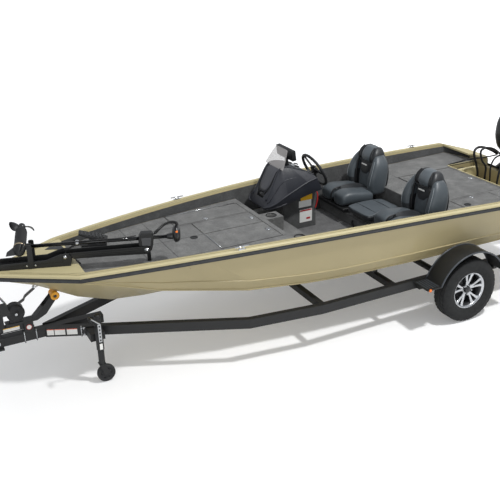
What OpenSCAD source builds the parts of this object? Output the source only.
// Aluminium bass boat, 5.3 m, standing on its single-axle trailer.
// +X to the bow, +Y to port, +Z up, ground at Z = 0, millimetres.
// Distances along X are counted from the aft corners of the gunwales.

/* [Hull] */
// Length of the straight sheer, from aft corner to bow corner
sheer_len = 4640; // [4600:10:4700]
// Half-beam over the gunwales at the aft corner
stern_half = 984; // [970:2:1000]
// Half-beam lost along the sheer, straight part
taper_lin = 237; // [225:1:250]
// Half-beam lost along the sheer, cubic part
taper_cub = 307; // [300:1:315]
// Bow nose ahead of the bow corner
nose_len = 580; // [560:5:600]
// Half-width of the blunt bow nose
nose_half = 90; // [80:1:100]
// Highest point of the sheer above the ground
sheer_top = 1064; // [1055:1:1075]
// Distance of the highest sheer point from the aft corner
sheer_peak = 2150; // [2000:10:2300]
// Drop of the sheer from its peak to the bow corner
sheer_drop = 55; // [45:1:60]
// Keel line above the ground
keel_z = 490; // [485:1:500]
// Half-beam at the chine at the stern
chine_half = 800; // [790:1:805]
// Rise of the bottom per unit of half-beam
deadrise = 0.1625; // [0.155:0.0005:0.17]
// Transom plane aft of the gunwale corners
transom_sweep = 120; // [110:5:130]
// Height of the lower side band above the chine
band_h = 90; // [70:1:110]

/* [Cap and rail] */
// Width of the gunwale cap
cap_w = 70; // [64:1:76]
// Thickness of the gunwale cap
cap_t = 22; // [18:1:26]
// Width of the accessory groove in the cap
groove_w = 14; // [10:1:18]
// Depth of the accessory groove
groove_d = 6; // [4:1:8]
// Height of the rub rail
rail_h = 36; // [28:1:42]
// How far the rub rail stands out
rail_out = 14; // [10:1:18]

/* [Decks] */
// Top of the front deck
deck_z = 950; // [940:2:955]
// Aft edge of the front deck
deck_aft = 2775; // [2765:5:2785]
// Top of the step below the front deck
step_z = 800; // [785:5:815]
// Aft edge of that step
step_aft = 2457; // [2450:1:2470]
// Top of the cockpit floor
floor_z = 645; // [640:1:655]
// Top of the seat platform
box_z = 740; // [730:2:750]
// Front edge of the seat platform
box_front = 1765; // [1755:5:1775]
// Top of the aft deck
aft_z = 935; // [925:2:940]
// Front edge of the aft deck
aft_front = 1300; // [1290:5:1305]
// Thickness of a carpeted deck panel
panel_t = 14; // [10:1:18]
// Gap round a lid
lid_gap = 6; // [5:1:8]
// Depth of a storage locker under its lid
bin_d = 190; // [150:5:220]
// Width of the ledge that a lid rests on
ledge = 18; // [14:1:22]
// Forward edge of the motor well
well_len = 290; // [280:2:300]
// Half-width of the motor well
well_half = 460; // [450:5:470]
// Floor of the motor well
well_z = 730; // [710:5:750]
// Bottom of the motor notch in the transom
notch_z = 945; // [935:1:950]

/* [Cockpit] */
// Distance of each seat's middle from the centreline
seat_y = 455; // [450:1:465]
// Width of a seat
seat_w = 490; // [470:2:496]
// Height of a seat's back above the platform
seat_h = 612; // [590:2:640]
// Length of a seat cushion
seat_d = 480; // [460:5:490]
// Diameter of the steering wheel
wheel_d = 376; // [350:2:390]
// Thickness of the steering wheel's rim
wheel_rim = 28; // [24:1:32]
// Lean of the steering wheel from upright
wheel_lean = 28; // [26:1:30]

/* [Outboard] */
// Height of the motor bracket's tilt tube above the ground
tilt_z = 985; // [982:1:990]
// Width of the motor cowl
cowl_w = 350; // [330:5:370]
// Top of the motor cowl above the ground
cowl_top = 1660; // [1640:5:1680]
// Diameter of the propeller
prop_d = 330; // [310:2:340]
// Height of the propeller shaft above the ground
prop_z = 425; // [420:1:430]
// Blades of the outboard's propeller
blades = 3; // [2:1:4]

/* [Bow motor] */
// Heading of the stowed bow motor to starboard of straight ahead
bow_yaw = 19; // [17:1:21]
// Diameter of the bow motor's shaft tube
shaft_d = 30; // [26:1:34]
// Length of the swinging arm between its two pivots
arm_len = 635; // [630:1:640]
// Shaft's height over the arm's pivots
shaft_lift = 88; // [84:1:92]
// Diameter of the bow motor's pod
pod_d = 92; // [86:1:96]

/* [Trailer] */
// Height of the frame's rail
frame_h = 85; // [80:1:90]
// Width of the frame's rail
frame_w = 50; // [46:1:56]
// Underside of the frame above the ground
frame_z = 355; // [350:1:360]
// Distance of the axle ahead of the aft gunwale corner
axle_x = 1244; // [1220:4:1268]
// Outside diameter of a tyre
tyre_d = 610; // [600:2:620]
// Width of a tyre
tyre_w = 178; // [170:1:184]
// Gap between the frame's rail and a tyre
tyre_gap = 47; // [42:1:52]
// Diameter of a wheel's rim
rim_d = 352; // [340:2:360]
// Twin spokes of a wheel
spokes = 5; // [4:1:6]
// Hinge of the folding tongue ahead of the joint of the frame's rails
hinge_out = 520; // [510:5:530]
// Length of the folding tongue, hinge to coupler ball
tongue_len = 820; // [800:10:860]
// Diameter of the ball that the coupler takes
ball_d = 50.8; // [47.6:0.1:60.3]
// Jack's distance aft of the joint of the frame's rails
jack_back = 335; // [325:5:345]
// Jack's distance to port
jack_y = 366; // [360:1:372]
// Diameter of the jack's wheel
jack_wheel_d = 152; // [144:2:156]

/* [Hidden] */
$fn = 48;
clear = 0.3;
wall_top = cap_w + 6;
wall_slope = 0.22;
nose_x = sheer_len + nose_len;
bow_deck_x = sheer_len - 60;
// The frame's rails run under the chines and meet behind the bow; the tongue carries on from there
frame_half = chine_half;
tyre_y = frame_half + frame_w / 2 + tyre_gap + tyre_w;
tongue_x = nose_x - 360;
hinge_x = tongue_x + hinge_out;
jack_x = tongue_x - jack_back;
coupler_x = hinge_x + tongue_len;
frame_top = frame_z + frame_h;
axle_z = tyre_d / 2;
fender_r = tyre_d / 2 + 87;
bunk_y = 450;
bunk_w = 90;
bunk_t = 38;

tilt_x = -transom_sweep - 45;
steer_x = tilt_x - 110;
// Middle of the whole model along X, from the motor's back to the coupler's nose
motor_back = steer_x - 485;
coupler_nose = coupler_x + 62;
x_mid = (motor_back + coupler_nose) / 2;

// Half-beam over the gunwales
function half_beam(x) =
    x > nose_x - 30 ? nose_half - (x - nose_x + 30)
    : x > sheer_len ? half_beam(sheer_len) + (nose_half - half_beam(sheer_len)) * (x - sheer_len) / (nose_len - 30)
    : x < 0 ? stern_half + x / transom_sweep * 350
    : stern_half - taper_lin * (x / sheer_len) - taper_cub * pow(x / sheer_len, 3);
// Top of the gunwale, level forward of the bow corner
function sheer(x) = sheer_top - sheer_drop * pow((min(x, sheer_len) - sheer_peak) / (sheer_len - sheer_peak), 2);
// Keel height: a straight run, then the rise to the bow
function keel(x) = keel_z + lookup(x - nose_x, [[-1620, 0], [-1220, 12], [-920, 42], [-660, 132], [-450, 252],
    [-190, 398], [0, 450]]);
// Half-beam at the chine
function chine(x) = chine_half * lookup(x / nose_x, [[-transom_sweep / nose_x, 0.79], [0, 1], [0.326, 0.97],
    [0.498, 0.875], [0.632, 0.775], [0.766, 0.575], [0.862, 0.375], [1, 0.09]]);
// Height of the chine: the straight run follows the deadrise, the bow sweeps up
chine_turn = 0.498 * nose_x;
function chine_z(x) = x <= chine_turn ? keel_z + deadrise * chine(x)
    : keel_z + lookup(x / nose_x, [[0.498, deadrise * chine(chine_turn)], [0.632, 160], [0.766, 260], [0.862, 370],
                                   [1, 470]]);
// Half-width inside the side wall at height z
function inner_half(x, z) = half_beam(x) - wall_top - wall_slope * max(0, sheer(x) - z);

// Hull stations: distance from the stern corner, deck level
bow_run = bow_deck_x - deck_aft;
stations = [
    [-transom_sweep, aft_z], [0, aft_z], [640, aft_z], [aft_front - 3, aft_z], [aft_front, box_z],
    [box_front - 3, box_z], [box_front, floor_z], [step_aft - 3, floor_z], [step_aft, step_z],
    [deck_aft - 3, step_z], [deck_aft, deck_z], [deck_aft + 0.29 * bow_run, deck_z],
    [deck_aft + 0.51 * bow_run, deck_z], [deck_aft + 0.68 * bow_run, deck_z], [deck_aft + 0.84 * bow_run, deck_z],
    [bow_deck_x - 3, deck_z], [bow_deck_x, 990], [sheer_len, 990], [sheer_len + 260, 990],
    [nose_x - 30, 990], [nose_x - 4, 990]
];

// Points of one hull section, half the loop: the other half is its mirror image
function half_section(s) =
    let(x = s[0], d = s[1] - panel_t, top = sheer(x) - cap_t, low = min(chine_z(x), top - 24), b = half_beam(x) - 4 - max(0, x - nose_x + 30) * 0.1,
        c = min(chine(x), b - 8), k = min(keel(x), low - 10), in_top = max(20, b - wall_top + 4),
        in_low = max(16, min(inner_half(x, d), in_top - 2)))
    [[x, in_low, d], [x, in_top, top], [x, b, top], [x, c + (b - c) * 0.34, low + min(band_h, (top - low) * 0.3)],
     [x, c, low], [x, 0, k]];
function mirrored(p) = [for (i = [len(p) - 2:-1:0]) [p[i][0], -p[i][1], p[i][2]]];
function section(s) = concat(half_section(s), mirrored(half_section(s)));

// Closed solid over a list of rings with equal numbers of points
module loft(rings) {
    n = len(rings[0]);
    last = (len(rings) - 1) * n;
    pts = [for (r = rings, p = r) p];
    sides = [for (i = [0:len(rings) - 2], j = [0:n - 1], t = [0, 1])
        let(a = i * n + j, b = i * n + (j + 1) % n) t == 0 ? [a, a + n, b] : [b, a + n, b + n]];
    ends = [[for (j = [0:n - 1]) j], [for (j = [n - 1:-1:0]) last + j]];
    polyhedron(points = pts, faces = concat(sides, ends));
}
// Block between two opposite corners
module block(low, high) {
    translate(low) cube(high - low);
}
// Plate of an outline in X and Z, between two distances to port
module side_plate(y0, y1) {
    translate([0, y1, 0]) rotate([90, 0, 0]) linear_extrude(y1 - y0) children();
}
module cross_rod(d, w) {
    rotate([90, 0, 0]) cylinder(d = d, h = w, center = true);
}
module rounded(w, h, r) {
    hull() for (x = [-1, 1], y = [-1, 1]) translate([x * (w / 2 - r), y * (h / 2 - r)]) circle(r, $fn = 24);
}
module both_sides() {
    children();
    mirror([0, 1, 0]) children();
}

// Storage lids: x from, x to, y from, y to, deck top
lid_aft_x = deck_aft + 55;
rod_len = 730;
lid_rod = [lid_aft_x, lid_aft_x + rod_len, 15.2 - inner_half(lid_aft_x + rod_len, deck_z - panel_t), -300, deck_z];
lid_centre = [lid_aft_x, lid_aft_x + 580, -272, -5, deck_z];
lid_port = [lid_aft_x, lid_aft_x + 580, 5, 360, deck_z];
lid_aft = [330, 1000, -410, 370, aft_z];
lid_well = [520, 1000, 400, 720, aft_z];

module lid_panel(l) {
    color("#6d6f70") block([l[0], l[2], l[4] - panel_t + clear], [l[1], l[3], l[4]]);
}
module lid_hole(l) {
    block([l[0] - lid_gap, l[2] - lid_gap, l[4] - panel_t - 1], [l[1] + lid_gap, l[3] + lid_gap, l[4] + 1]);
}
module lid_bin(l) {
    block([l[0] + ledge, l[2] + ledge, l[4] - bin_d], [l[1] - ledge, l[3] - ledge, l[4] + 1]);
}
module lid_rod_starboard() { lid_panel(lid_rod); }
module lid_front_centre() { lid_panel(lid_centre); }
module lid_front_port() { lid_panel(lid_port); }
module lid_aft_centre() { lid_panel(lid_aft); }
module lid_livewell() { lid_panel(lid_well); }

// Storage under the folding step seat: x from, x to, half-width
seat_bin = [1440, 1700, 140];
module seat_storage(low, high, wall) {
    block([seat_bin[0] - wall, -seat_bin[2] - wall, low], [seat_bin[1] + wall, seat_bin[2] + wall, high]);
}

module hull_shell() {
    color("#a89f78") difference() {
        loft([for (s = stations) section(s)]);
        for (l = [lid_rod, lid_centre, lid_port, lid_aft, lid_well]) lid_bin(l);
        block([-transom_sweep + 60, -well_half, well_z], [well_len, well_half, sheer_top]);
        block([-transom_sweep - 10, -300, notch_z], [well_len, 300, sheer_top]);
        seat_storage(box_z - 100, box_z + 1, 0);
    }
}

// Path of the gunwale from the port stern corner round the nose to the starboard one: point, inward direction
port_path = concat([for (s = stations) if (s[0] < nose_x - 29) [s[0], half_beam(s[0]), 0, -1]],
                   [[nose_x, nose_half - 30, -0.4, -0.714]]);
gunwale_path = concat(port_path, [[nose_x, 0, -0.38, 0]],
                      [for (i = [len(port_path) - 1:-1:0]) let(p = port_path[i]) [p[0], -p[1], p[2], -p[3]]]);
// Solid swept along that path, its outline given inward from the gunwale and up from the sheer
module gunwale_sweep(outline) {
    loft([for (p = gunwale_path) [for (q = outline) [p[0] + p[2] * q[0], p[1] + p[3] * q[0], sheer(p[0]) + q[1]]]]);
}
module gunwale_cap() {
    low = clear - cap_t;
    g = cap_w / 2;
    color("#b9ae84") gunwale_sweep([[0, low], [cap_w, low], [cap_w, 0], [g + groove_w + 2, 0], [g + groove_w, -groove_d],
                                    [g, -groove_d], [g - 2, 0], [5, 0], [0, -5]]);
}
// Flat plates between the caps, at the bow and at the stern corners
function cap_inner(x) = half_beam(x) - cap_w - clear;
module corner_plates() {
    low = clear - cap_t;
    color("#b9ae84") {
        translate([0, 0, sheer(bow_deck_x) + low]) linear_extrude(sheer(sheer_len) - sheer(bow_deck_x) - low) polygon([
            [bow_deck_x + 2, cap_inner(bow_deck_x + 2)], [sheer_len, cap_inner(sheer_len)],
            [nose_x - 32, cap_inner(nose_x - 32)], [nose_x - 32, -cap_inner(nose_x - 32)],
            [sheer_len, -cap_inner(sheer_len)], [bow_deck_x + 2, -cap_inner(bow_deck_x + 2)]]);
        both_sides() translate([0, 0, sheer(0) + low]) linear_extrude(-low - 2)
            polygon([[-2, well_half + 20], [-2, cap_inner(-2)], [-transom_sweep + 2, cap_inner(-transom_sweep + 2)],
                     [-transom_sweep + 2, 310], [-transom_sweep + 58, 310], [-30, well_half + 10]]);
    }
}
module rub_rail() {
    in = 4 - clear;
    color("#2c2f33") gunwale_sweep([[in, -cap_t - rail_h], [in, -cap_t], [in - rail_out * 0.7, -cap_t - 4],
        [in - rail_out, -cap_t - rail_h / 2], [in - rail_out * 0.7, -cap_t - rail_h + 4]]);
}

// Outline of a deck panel that follows the side walls
module deck_outline(x0, x1, z, n) {
    xs = [for (i = [0:n]) x0 + (x1 - x0) * i / n];
    polygon(concat([for (x = xs) [x, inner_half(x, z - panel_t) - 6]],
                   [for (i = [n:-1:0]) [xs[i], 6 - inner_half(xs[i], z - panel_t)]]));
}
module deck_panel(x0, x1, z, n) {
    translate([0, 0, z - panel_t + clear]) linear_extrude(panel_t - clear) deck_outline(x0, x1, z, n);
}
module front_deck() {
    color("#6d6f70") difference() {
        deck_panel(deck_aft + 1, bow_deck_x - 6, deck_z, 6);
        for (l = [lid_rod, lid_centre, lid_port]) lid_hole(l);
    }
}
module aft_deck() {
    color("#6d6f70") difference() {
        deck_panel(4, aft_front - 4, aft_z, 3);
        for (l = [lid_aft, lid_well]) lid_hole(l);
        block([-100, -well_half - 12, aft_z - 50], [well_len + 12, well_half + 12, aft_z + 1]);
    }
}
module cockpit_floor() {
    color("#58595a") deck_panel(box_front + 2, step_aft - 6, floor_z, 2);
}
module seat_platform() {
    color("#4d4f50") difference() {
        union() {
            deck_panel(aft_front + 2, box_front - 6, box_z, 2);
            seat_storage(box_z - 1, box_z + 52, 30);
        }
        seat_storage(box_z - 100, box_z + 60, 0);
    }
}
// Moulded step with a drink holder box beside the console and one in the step
module step_tray() {
    color("#3f4246") difference() {
        union() {
            deck_panel(step_aft + 2, deck_aft - 6, step_z, 2);
            block([2590, -190, step_z - 1], [deck_aft - 6, -40, deck_z - 8]);
        }
        translate([2680, -115, step_z + 30]) cylinder(d = 82, h = 200);
        translate([2535, 160, step_z - panel_t + 4]) cylinder(d = 82, h = 100);
    }
}

// Folding step seat between the two bucket seats: x from, x to, half-width, thickness
step_seat = [1380, 1805, 190, 66];
module step_seat_lid() {
    color("#5c666e") translate([(step_seat[0] + step_seat[1]) / 2, 0, box_z + 52 + clear]) linear_extrude(step_seat[3])
        rounded(step_seat[1] - step_seat[0], step_seat[2] * 2, 36);
}

// Bucket seat: cushion and reclined back in one shell, its foot just ahead of the aft deck
seat_back_x = aft_front + 24;
module seat_outline() {
    x = seat_back_x;
    z = box_z + 22;
    polygon([[x + 10, z], [x + seat_d, z], [x + seat_d + 30, z + 40], [x + seat_d + 34, z + 130], [x + seat_d - 10, z + 185],
             [x + seat_d - 90, z + 205], [x + 180, z + 170], [x + 125, z + 230], [x + 85, z + 420],
             [x + 78, z + seat_h - 80], [x + 50, z + seat_h - 32], [x, z + seat_h - 22], [x - 60, z + seat_h - 60],
             [x - 95, z + seat_h - 150], [x - 80, z + 230], [x - 6, z + 160]]);
}
module seat_front() {
    polygon([[-seat_w * 0.42, 0], [seat_w * 0.42, 0], [seat_w * 0.5, 90], [seat_w * 0.5, 300], [seat_w * 0.42, seat_h * 0.76],
             [seat_w * 0.28, seat_h * 0.94], [seat_w * 0.2, seat_h], [-seat_w * 0.2, seat_h], [-seat_w * 0.28, seat_h * 0.94],
             [-seat_w * 0.42, seat_h * 0.76], [-seat_w * 0.5, 300], [-seat_w * 0.5, 90]]);
}
module bucket_seat(y) {
    color("#5c666e") translate([0, y, 0]) {
        intersection() {
            side_plate(-seat_w / 2, seat_w / 2) seat_outline();
            translate([seat_back_x - 150, 0, box_z]) rotate([90, 0, 90]) linear_extrude(seat_d + 300) seat_front();
        }
        block([seat_back_x + 60, -150, box_z + clear], [seat_back_x + 400, 150, box_z + 22]);
    }
}
module seat_starboard() { bucket_seat(-seat_y); }
module seat_port() { bucket_seat(seat_y); }

// Steering wheel centre, on the helm seat's line
wheel_pos = [2005, -seat_y, 1178];
column_len = 105;
module at_wheel() {
    translate(wheel_pos) rotate([0, -90 + wheel_lean, 0]) children();
}
// Helm console: moulded body over a carpeted pedestal, its rear face square to the column
console_y = [-660, -200];
face_mid = [wheel_pos[0] + column_len * cos(wheel_lean), wheel_pos[2] - column_len * sin(wheel_lean)];
function on_face(u) = [face_mid[0] + u * sin(wheel_lean), face_mid[1] + u * cos(wheel_lean)];
console_mid = (console_y[0] + console_y[1]) / 2;
console_half = (console_y[1] - console_y[0]) / 2;
// Console sections from the front lip aft: x of bottom and top, heights of bottom, shoulder and top, half-width at
// the top and share of the half-width at the shoulder
console_sections = [
    [2668, 2664, 944, 950, 956, 120, 0.66], [2640, 2634, 942, 972, 1014, 132, 0.86], [2570, 2560, 950, 1002, 1150, 126, 0.96],
    [2504, 2500, 962, 1040, 1265, 118, 1], [2450, 2450, 974, 1066, 1308, 116, 1], [2360, 2360, 992, 1104, 1300, 128, 1],
    [2230, 2230, 1022, 1158, 1256, 156, 0.99], [on_face(-85)[0], on_face(85)[0], on_face(-85)[1], 1180, on_face(85)[1], 172, 0.97]
];
function console_ring(s) = let(w = console_half * s[6], m = (s[4] == s[2]) ? 0 : (s[3] - s[2]) / (s[4] - s[2]),
                               xm = s[0] + (s[1] - s[0]) * m, t = min(s[5], w - 14))
    [[s[0], console_mid - w + 16, s[2]], [xm, console_mid - w, s[3]], [s[1], console_mid - t, s[4]],
     [s[1], console_mid + t, s[4]], [xm, console_mid + w, s[3]], [s[0], console_mid + w - 16, s[2]]];
module console() {
    color("#33363b") loft([for (i = [len(console_sections) - 1:-1:0]) console_ring(console_sections[i])]);
}
// Pedestal under the console, and the column on its rear face
module console_pedestal() {
    color("#303338") {
        side_plate(-610, -330) polygon([[2436, floor_z + clear], [2436, 976.5], [2360, 991.7],
            [2230, 1021.7], [on_face(-86)[0], on_face(-86)[1]], [2066, 960], [2060, floor_z + clear]]);
        at_wheel() translate([0, 0, clear - column_len]) cylinder(d = 78, h = column_len - 52 - 2 * clear);
    }
}
module windscreen() {
    color([0.6, 0.62, 0.65, 0.5]) translate([2476, console_mid, 1286]) rotate([0, -27, 0]) rotate([90, 0, 90])
        linear_extrude(5, center = true)
        polygon([[-170, 10], [-150, 90], [-112, 190], [-95, 200], [95, 200], [112, 190], [150, 90], [170, 10],
                 [80, 6], [-80, 6]]);
}
dash_lean = atan2(1300 - 1256, 2360 - 2230);
module dash_panel() {
    color("#c8cacc") translate([2268, console_mid, 1256 + 38 * tan(dash_lean)]) rotate([0, -dash_lean, 0])
        translate([0, 0, clear]) linear_extrude(6) rounded(68, 220, 18);
}
module display() {
    color("#1c1d1f") translate([2335, console_mid, 1256 + 105 * tan(dash_lean)]) {
        rotate([0, -dash_lean, 0]) translate([0, 0, clear]) cylinder(d = 50, h = 10);
        translate([0, 0, 8]) cylinder(d = 34, h = 80);
        translate([0, 0, 72]) rotate([0, 8, 0]) block([-22, -150, 0], [18, 150, 96]);
    }
}
module steering_wheel() {
    color("#222325") at_wheel() {
        rotate_extrude() translate([wheel_d / 2 - wheel_rim / 2, 0]) circle(d = wheel_rim);
        cylinder(d = 86, h = 30, center = true);
        for (a = [90, 210, 330]) rotate([0, 0, a]) translate([30, -13, -6]) cube([wheel_d / 2 - 44, 26, 12]);
        translate([0, 0, -52]) cylinder(d = 34, h = 46);
    }
}

// Outboard motor: bracket on the transom, swivel, cowl with leg, propeller
swivel_d = 100;
module outboard_bracket() {
    color("#1d1e20") {
        both_sides() side_plate(105, 135) polygon([
            [-transom_sweep + 66, notch_z + clear], [-transom_sweep + 66, notch_z + 16],
            [-transom_sweep + 20, notch_z + 36], [tilt_x, tilt_z + 30],
            [tilt_x - 28, tilt_z + 14], [tilt_x - 28, tilt_z - 40], [-transom_sweep - 40, 720],
            [-transom_sweep - clear, 700], [-transom_sweep - clear, notch_z + clear]]);
        translate([tilt_x, 0, tilt_z]) cross_rod(34, 300);
    }
}
module outboard_swivel() {
    color("#202124") difference() {
        union() {
            side_plate(-97, 97) polygon([[tilt_x + 30, tilt_z + 26], [tilt_x - 40, tilt_z + 32], [steer_x + 24, tilt_z + 6],
                [steer_x + 24, 800], [steer_x + 46, 860], [tilt_x + 26, tilt_z - 28]]);
            translate([steer_x, 0, 690]) cylinder(d = swivel_d, h = tilt_z + 6 - 690);
        }
        translate([tilt_x, 0, tilt_z]) cross_rod(34.6, 400);
        translate([steer_x, 0, 600]) cylinder(d = 60.6, h = 500);
    }
}
leg_top = 1045;
// Cowl sections from the bottom up: height, front and back from the steering axis, share of the half-width
cowl_sections = [
    [leg_top + 14 + clear, 118, -370, 0.78], [1110, 172, -430, 0.92], [1200, 280, -476, 0.99], [1330, 322, -485, 1],
    [1460, 312, -482, 0.97], [1560, 272, -462, 0.86], [1625, 205, -410, 0.66], [cowl_top, 80, -300, 0.36]
];
function cowl_ring(s) = let(mid = (s[1] + s[2]) / 2, a = (s[1] - s[2]) / 2, b = cowl_w / 2 * s[3])
    [for (i = [0:19]) let(t = -18 * i, c = cos(t), e = sin(t))
        [steer_x + mid + a * sign(c) * pow(abs(c), 0.62), b * sign(e) * pow(abs(e), 0.62), s[0]]];
module outboard_cowl() {
    color("#2b2c2f") loft([for (s = cowl_sections) cowl_ring(s)]);
}
module outboard_leg() {
    color("#232427") {
        translate([steer_x, 0, 640]) cylinder(d = 60, h = leg_top - 640);
        translate([steer_x - 90, 0, leg_top]) linear_extrude(14) rounded(420, 260, 80);
        side_plate(-52, 52) polygon([[steer_x - 60, leg_top], [steer_x - 250, leg_top], [steer_x - 200, 640],
                                     [steer_x - 60, 640]]);
        translate([steer_x - 80, 0, 625]) linear_extrude(15) rounded(310, 150, 50);
        side_plate(-22, 22) polygon([[steer_x - 10, 625], [steer_x - 215, 625], [steer_x - 180, 420],
                                     [steer_x - 150, 260], [steer_x - 90, 250], [steer_x + 10, 420]]);
        translate([steer_x - 140, 0, prop_z + prop_d / 2 + 10]) linear_extrude(10) rounded(330, 200, 60);
        translate([steer_x - 230, 0, prop_z]) rotate([0, 90, 0]) cylinder(d = 96, h = 200);
        translate([steer_x - 30, 0, prop_z]) rotate([0, 90, 0]) cylinder(d1 = 96, d2 = 20, h = 120);
    }
}
// Propeller with its hub's front face at the origin, trailing along -X
module propeller_shape(d, hub, hub_len, pitch, n) {
    intersection() {
        rotate([0, -90, 0]) {
            cylinder(d = hub, h = hub_len);
            for (i = [0:n - 1]) rotate([0, 0, 360 * i / n]) translate([0, 0, hub_len / 2]) rotate([0, 90, 0])
                rotate([0, 0, pitch]) linear_extrude(d / 2) square([hub_len * 0.9, 7], center = true);
        }
        translate([-hub_len, 0, 0]) rotate([0, 90, 0]) cylinder(d = d, h = hub_len);
    }
}
module propeller() {
    color("#1f2022") translate([steer_x - 230 - clear, 0, prop_z]) propeller_shape(prop_d, 88, 110, 28, blades);
}

// Bow motor frame: origin at the arm's pivot on the base, +X along the stowed unit to its front
bow_pivot = [sheer_len + 20, 131, sheer(sheer_len) + 76];
pod_x = 338;
head_x = -arm_len - 243;
pod_len = 300;
pod_shift = 55;
pod_rise = 20;
module at_bow_motor() {
    translate(bow_pivot) rotate([0, 0, -bow_yaw]) children();
}
module at_pod() {
    translate([pod_x, 0, shaft_lift]) rotate([90 - pod_rise, 0, 0]) children();
}
module bow_motor_base() {
    low = sheer(sheer_len) + clear - bow_pivot[2];
    color("#232527") at_bow_motor() {
        difference() {
            side_plate(-66, 66) polygon([[-40, low], [520, low], [560, low + 24], [540, low + 50], [150, low + 60],
                                         [30, 26], [-30, 26], [-46, 0]]);
            block([-60, -56, low + 12], [600, 56, 60]);
        }
        cross_rod(12, 128);
    }
}
module bow_motor_arm() {
    color("#2a2c2f") at_bow_motor() {
        difference() {
            union() {
                both_sides() side_plate(40, 46) hull() {
                    circle(d = 44);
                    translate([-arm_len, 0]) circle(d = 64);
                }
                block([-arm_len + 80, -40.1, -30], [-60, 40.1, -24]);
                block([-arm_len - 30, -76, deck_z - bow_pivot[2] + clear], [-arm_len, -45.9, 10]);
            }
            cross_rod(12.4, 200);
            translate([-arm_len, 0, 0]) cross_rod(12.4, 200);
        }
    }
}
module bow_motor_shaft() {
    color("#2a2c2f") at_bow_motor() {
        translate([-arm_len, 0, 0]) {
            cross_rod(12, 92);
            side_plate(-34, 34) polygon([[-40, -16], [40, -16], [64, 40], [56, 110], [36, 140], [-50, 140], [-64, 110],
                                         [-56, 40]]);
        }
        translate([head_x, 0, shaft_lift]) rotate([0, 90, 0]) cylinder(d = shaft_d, h = pod_x - head_x);
        translate([head_x - 30, 0, shaft_lift]) rotate([0, 90, 0]) cylinder(d = 105, h = 62);
        at_pod() translate([0, 0, pod_shift - pod_len / 2]) cylinder(d = pod_d, h = pod_len);
    }
}
module bow_motor_prop() {
    color("#1f2022") at_bow_motor() at_pod() translate([0, 0, pod_shift + pod_len / 2 + clear]) rotate([0, 90, 0])
        propeller_shape(206, 60, 60, 24, 2);
}
module foot_pedal() {
    color("#1e1f21") translate([sheer_len - 310, -270, deck_z + clear]) rotate([0, 0, -bow_yaw]) {
        block([-120, -60, 0], [90, 60, 14]);
        side_plate(-45, 45) polygon([[-40, 13], [40, 13], [8, 60], [110, 108], [104, 120], [-130, 50], [-124, 38], [-12, 50]]);
    }
}

// Cleats on the gunwales: distance from the stern corner
cleat_xs = [419, 3380];
module cleats() {
    color("#c2c4c6") both_sides() for (x = cleat_xs)
        translate([x, half_beam(x) - cap_w * 0.25, sheer(x) + 1]) {
            block([-32, -9, 0], [32, 9, 5]);
            for (e = [-14, 14]) translate([e, 0, 4]) cylinder(d = 10, h = 16);
            translate([-62, 0, 24]) rotate([0, 90, 0]) cylinder(d = 11, h = 124);
        }
}

// Trailer frame: plan path of one rail, distance ahead and to the side
bend_y = frame_half - 80;
frame_path = [[-60, frame_half], [tongue_x - 2160, frame_half], [tongue_x - 1510, bend_y], [tongue_x, 30]];
function frame_y(x) = lookup(x, frame_path);
module frame_rail() {
    color("#232427") translate([0, 0, frame_z]) linear_extrude(frame_h) difference() {
        for (i = [0:len(frame_path) - 2]) hull() {
            translate(frame_path[i]) circle(d = frame_w, $fn = 24);
            translate(frame_path[i + 1]) circle(d = frame_w, $fn = 24);
        }
        translate([tongue_x - 480, -60]) square([700, 98 + clear]);
    }
}
module rail_port() { frame_rail(); }
module rail_starboard() { mirror([0, 1, 0]) frame_rail(); }
cross_half = frame_half - frame_w / 2 - clear;
cross_h = 60;
module crossmember(x) {
    color("#232427") block([x - 25, -cross_half, frame_z + 5], [x + 25, cross_half, frame_z + 5 + cross_h]);
}
module crossmember_rear() { crossmember(120); }
module crossmember_mid() { crossmember(1900); }
module crossmember_front() { crossmember(tongue_x - 2200); }
module bunk() {
    top = keel_z + deadrise * bunk_y - 0.6;
    post_z = frame_z + 5 + cross_h + clear;
    color("#3a3a3b") {
        translate([0, bunk_y, top]) rotate([atan(deadrise), 0, 0]) block([60, -bunk_w / 2, -bunk_t], [2560, bunk_w / 2, 0]);
        for (x = [120, 1900]) difference() {
            block([x - 25, bunk_y - 20, post_z], [x + 25, bunk_y + 20, top - 10]);
            translate([0, bunk_y, top]) rotate([atan(deadrise), 0, 0]) block([0, -100, -bunk_t - clear], [2600, 100, 40]);
        }
    }
}
module bunk_port() { bunk(); }
module bunk_starboard() { mirror([0, 1, 0]) bunk(); }
module tongue_tube() {
    color("#232427") block([tongue_x - 474, -38, frame_z], [hinge_x - 45, 38, frame_z + 76]);
}
// Pin of the tongue's hinge, on its port face
pin_y = 60;
module tongue_hinge() {
    color("#1d1e20") {
        for (z = [frame_z - 16, frame_z + 76 + clear]) difference() {
            union() {
                block([hinge_x - 160, -48, z], [hinge_x - 20, 70, z + 15]);
                block([hinge_x - 21, 34, z], [hinge_x + 12, pin_y + 22, z + 15]);
            }
            translate([hinge_x, pin_y, z - 1]) cylinder(d = 19.4, h = 20);
        }
        block([hinge_x - 160, -48, frame_z - 2], [hinge_x - 60, -38 - clear, frame_z + 77]);
        block([hinge_x - 160, 38 + clear, frame_z - 2], [hinge_x - 60, 48, frame_z + 77]);
    }
}
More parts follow.
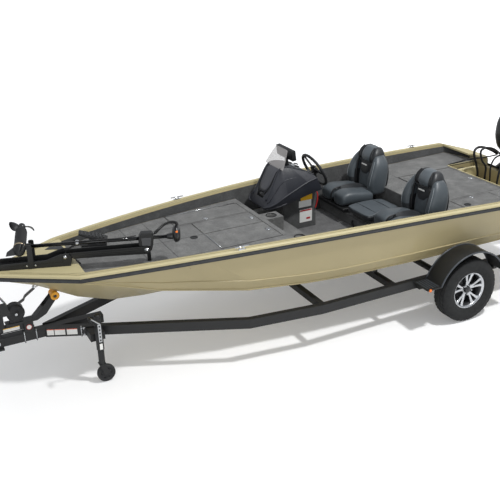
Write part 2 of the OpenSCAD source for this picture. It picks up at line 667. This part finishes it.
// Folding front half of the tongue, open at its ball end for the coupler
module tongue_fold() {
    color("#26272a") {
        block([hinge_x - 38, -34, frame_z + 2], [coupler_x - 120, 34, frame_z + 74]);
        block([hinge_x - 20, 33, frame_z + 6], [hinge_x + 20, pin_y, frame_z + 70]);
        translate([hinge_x, pin_y, frame_z + 6]) cylinder(d = 38, h = 64);
        translate([hinge_x, pin_y, frame_z - 20]) cylinder(d = 19, h = 118);
    }
}
module coupler() {
    low = frame_z + 74 + clear;
    color("#2b2c2f") difference() {
        union() {
            block([coupler_x - 300, -42, low], [coupler_x - 60, 42, low + 46]);
            translate([coupler_x, 0, low - 8]) cylinder(d = 124, h = 62);
            block([coupler_x - 90, -50, low], [coupler_x, 50, low + 50]);
        }
        translate([coupler_x, 0, low - 20]) cylinder(d = ball_d + 1, h = 56);
    }
}
roller_d = 64;
roller_x = tongue_x - 95;
roller_z = keel(roller_x) - roller_d / 2 / cos(29.7) - 0.6;
module winch_stand() {
    color("#232427") translate([tongue_x, 0, 0]) {
        block([105, -38, frame_z + 76 + clear], [180, 38, 525]);
        side_plate(-36, 36) polygon([[320, 540], [315, 520], [70, 520], [-10, 560], [-34, 620], [20, 620], [100, 540]]);
        both_sides() side_plate(31, 36) polygon([[70, 545], [-10, 560], [roller_x - tongue_x - 20, roller_z - 14],
            [roller_x - tongue_x - 18, roller_z + 14], [roller_x - tongue_x + 16, roller_z + 18], [20, 620]]);
        translate([roller_x - tongue_x, 0, roller_z]) cross_rod(12, 80);
    }
}
module bow_roller() {
    color("#e0a227") translate([roller_x, 0, roller_z]) difference() {
        cross_rod(roller_d, 60);
        cross_rod(12.6, 90);
    }
}
module winch() {
    color("#1e1f21") translate([tongue_x + 230, 0, 625]) {
        cross_rod(140, 60);
        block([-50, -32, -85 + clear], [50, 32, -50]);
    }
}
module axle() {
    color("#232427") {
        translate([axle_x, 0, axle_z]) {
            cross_rod(60, 2 * frame_half + 40);
            both_sides() translate([0, (frame_half + tyre_y - 77) / 2, 0]) cross_rod(40, tyre_y - 77 - frame_half);
        }
        both_sides() block([axle_x - 280, frame_half - 22, axle_z + 25], [axle_x + 280, frame_half + 22, frame_z - clear]);
    }
}
module at_wheel_axle() {
    translate([axle_x, tyre_y - tyre_w / 2, axle_z]) rotate([90, 0, 0]) children();
}
module tyre() {
    w = tyre_w / 2;
    r = tyre_d / 2;
    color("#26272a") at_wheel_axle() rotate_extrude($fn = 96) polygon([
        [rim_d / 2 + clear, -w * 0.72], [rim_d / 2 + 12, -w * 0.8], [r - 90, -w * 0.97], [r - 60, -w], [r - 30, -w * 0.95],
        [r - 12, -w * 0.84], [r - 4, -w * 0.72], [r, -w * 0.5], [r, w * 0.5], [r - 4, w * 0.72], [r - 12, w * 0.84],
        [r - 30, w * 0.95], [r - 60, w], [r - 90, w * 0.97], [rim_d / 2 + 12, w * 0.8], [rim_d / 2 + clear, w * 0.72]]);
}
module rim() {
    face = -tyre_w * 0.35;
    color("#b9bbbe") at_wheel_axle() difference() {
        union() {
            difference() {
                cylinder(d = rim_d, h = tyre_w * 0.7, center = true);
                cylinder(d = rim_d - 36, h = tyre_w, center = true);
            }
            for (i = [0:spokes - 1], e = [-13, 13]) rotate([0, 0, 360 * i / spokes + e])
                translate([40, -9, face + 4]) cube([rim_d / 2 - 50, 18, 24]);
            translate([0, 0, face]) cylinder(d = 118, h = 90);
        }
        translate([0, 0, -tyre_w * 0.1]) cylinder(d = 40.2, h = tyre_w);
    }
}
module tyre_port() { tyre(); }
module tyre_starboard() { mirror([0, 1, 0]) tyre(); }
module rim_port() { rim(); }
module rim_starboard() { mirror([0, 1, 0]) rim(); }
// Fender: arch over the wheel with a step at each end and two stays to the frame
fender_y = [frame_half + frame_w / 2 + 21, tyre_y + 8];
step_h = axle_z + 130;
module fender() {
    color("#1f2021") {
        difference() {
            translate([axle_x, (fender_y[0] + fender_y[1]) / 2, axle_z]) cross_rod(fender_r * 2, fender_y[1] - fender_y[0]);
            translate([axle_x, (fender_y[0] + fender_y[1]) / 2, axle_z]) cross_rod(fender_r * 2 - 10, 400);
            block([axle_x - fender_r - 9, fender_y[0] - 9, axle_z - fender_r - 9],
                  [axle_x + fender_r + 9, fender_y[1] + 9, step_h]);
        }
        for (e = [-1, 1]) translate([axle_x + e * (fender_r - 28 + 76), 0, step_h]) {
            block([-76, fender_y[0], 0], [76, fender_y[1], 12]);
            block([-20, frame_half + frame_w / 2 + clear, -70], [20, fender_y[0] + 30, 0.1]);
        }
    }
}
module fender_port() { fender(); }
module fender_starboard() { mirror([0, 1, 0]) fender(); }

// Swivel jack: bracket on the port rail, leg with its trailing fork, wheel
jack_pivot_z = frame_z + 42;
caster = 26;
module jack_bracket() {
    edge = frame_w / 2 / cos(atan((bend_y - 30) / 1510)) + clear;
    color("#1d1e20") {
        translate([0, 0, frame_z + 8]) linear_extrude(68) polygon([
            [jack_x - 60, frame_y(jack_x - 60) + edge], [jack_x + 60, frame_y(jack_x + 60) + edge],
            [jack_x + 60, jack_y - 40], [jack_x - 60, jack_y - 40]]);
        translate([jack_x, jack_y - 34, jack_pivot_z]) cross_rod(30, 16 - 2 * clear);
    }
}
module jack_leg() {
    color("#232427") {
        translate([jack_x, jack_y, jack_wheel_d + 20]) cylinder(d = 52, h = 590 - jack_wheel_d);
        both_sides_of_leg() side_plate(25, 30) polygon([[-28, jack_wheel_d + 22], [28, jack_wheel_d + 22],
            [-caster + 16, jack_wheel_d / 2 - 12], [-caster - 14, jack_wheel_d / 2 - 12]]);
        translate([jack_x, jack_y, jack_wheel_d + 14]) block([-28, -30, 0], [28, 30, 8]);
        translate([jack_x - caster, jack_y, jack_wheel_d / 2]) cross_rod(12, 60);
    }
}
module both_sides_of_leg() {
    translate([jack_x, jack_y, 0]) both_sides() children();
}
module jack_wheel() {
    color("#1b1c1d") translate([jack_x - caster, jack_y, jack_wheel_d / 2]) difference() {
        cross_rod(jack_wheel_d, 44);
        cross_rod(12.2, 80);
    }
}
module tail_lights() {
    x = -60 - frame_w / 2 - clear;
    both_sides() {
        color("#232427") block([x - 10, frame_half - 30, frame_z + 10], [x, frame_half + 30, frame_z + 80]);
        color("#8e1b1b") block([x - 30, frame_half - 75, frame_z + 5], [x - 9.9, frame_half + 75, frame_z + 85]);
    }
}
// Boarding step on an arm ahead of the winch stand, on the port side of the bow motor's path
module boarding_step() {
    color("#232427") translate([tongue_x, 0, 0]) {
        block([180 + clear, -25, frame_z + 110], [370, 25, frame_z + 160]);
        block([330, -25, frame_z + 159], [370, 25, frame_z + 330]);
        block([290, -30, frame_z + 329.9], [410, 170, frame_z + 350]);
    }
}

translate([-x_mid, 0, 0]) {
    hull_shell();
    gunwale_cap();
    corner_plates();
    rub_rail();
    front_deck();
    aft_deck();
    cockpit_floor();
    seat_platform();
    step_tray();
    lid_rod_starboard();
    lid_front_centre();
    lid_front_port();
    lid_aft_centre();
    lid_livewell();
    step_seat_lid();
    seat_starboard();
    seat_port();
    console();
    console_pedestal();
    windscreen();
    dash_panel();
    display();
    steering_wheel();
    outboard_bracket();
    outboard_swivel();
    outboard_cowl();
    outboard_leg();
    propeller();
    bow_motor_base();
    bow_motor_arm();
    bow_motor_shaft();
    bow_motor_prop();
    foot_pedal();
    cleats();
    rail_starboard();
    rail_port();
    crossmember_rear();
    crossmember_mid();
    crossmember_front();
    bunk_starboard();
    bunk_port();
    tongue_tube();
    tongue_hinge();
    tongue_fold();
    coupler();
    winch_stand();
    bow_roller();
    winch();
    axle();
    tyre_starboard();
    tyre_port();
    rim_starboard();
    rim_port();
    fender_starboard();
    fender_port();
    jack_bracket();
    jack_leg();
    jack_wheel();
    tail_lights();
    boarding_step();
}
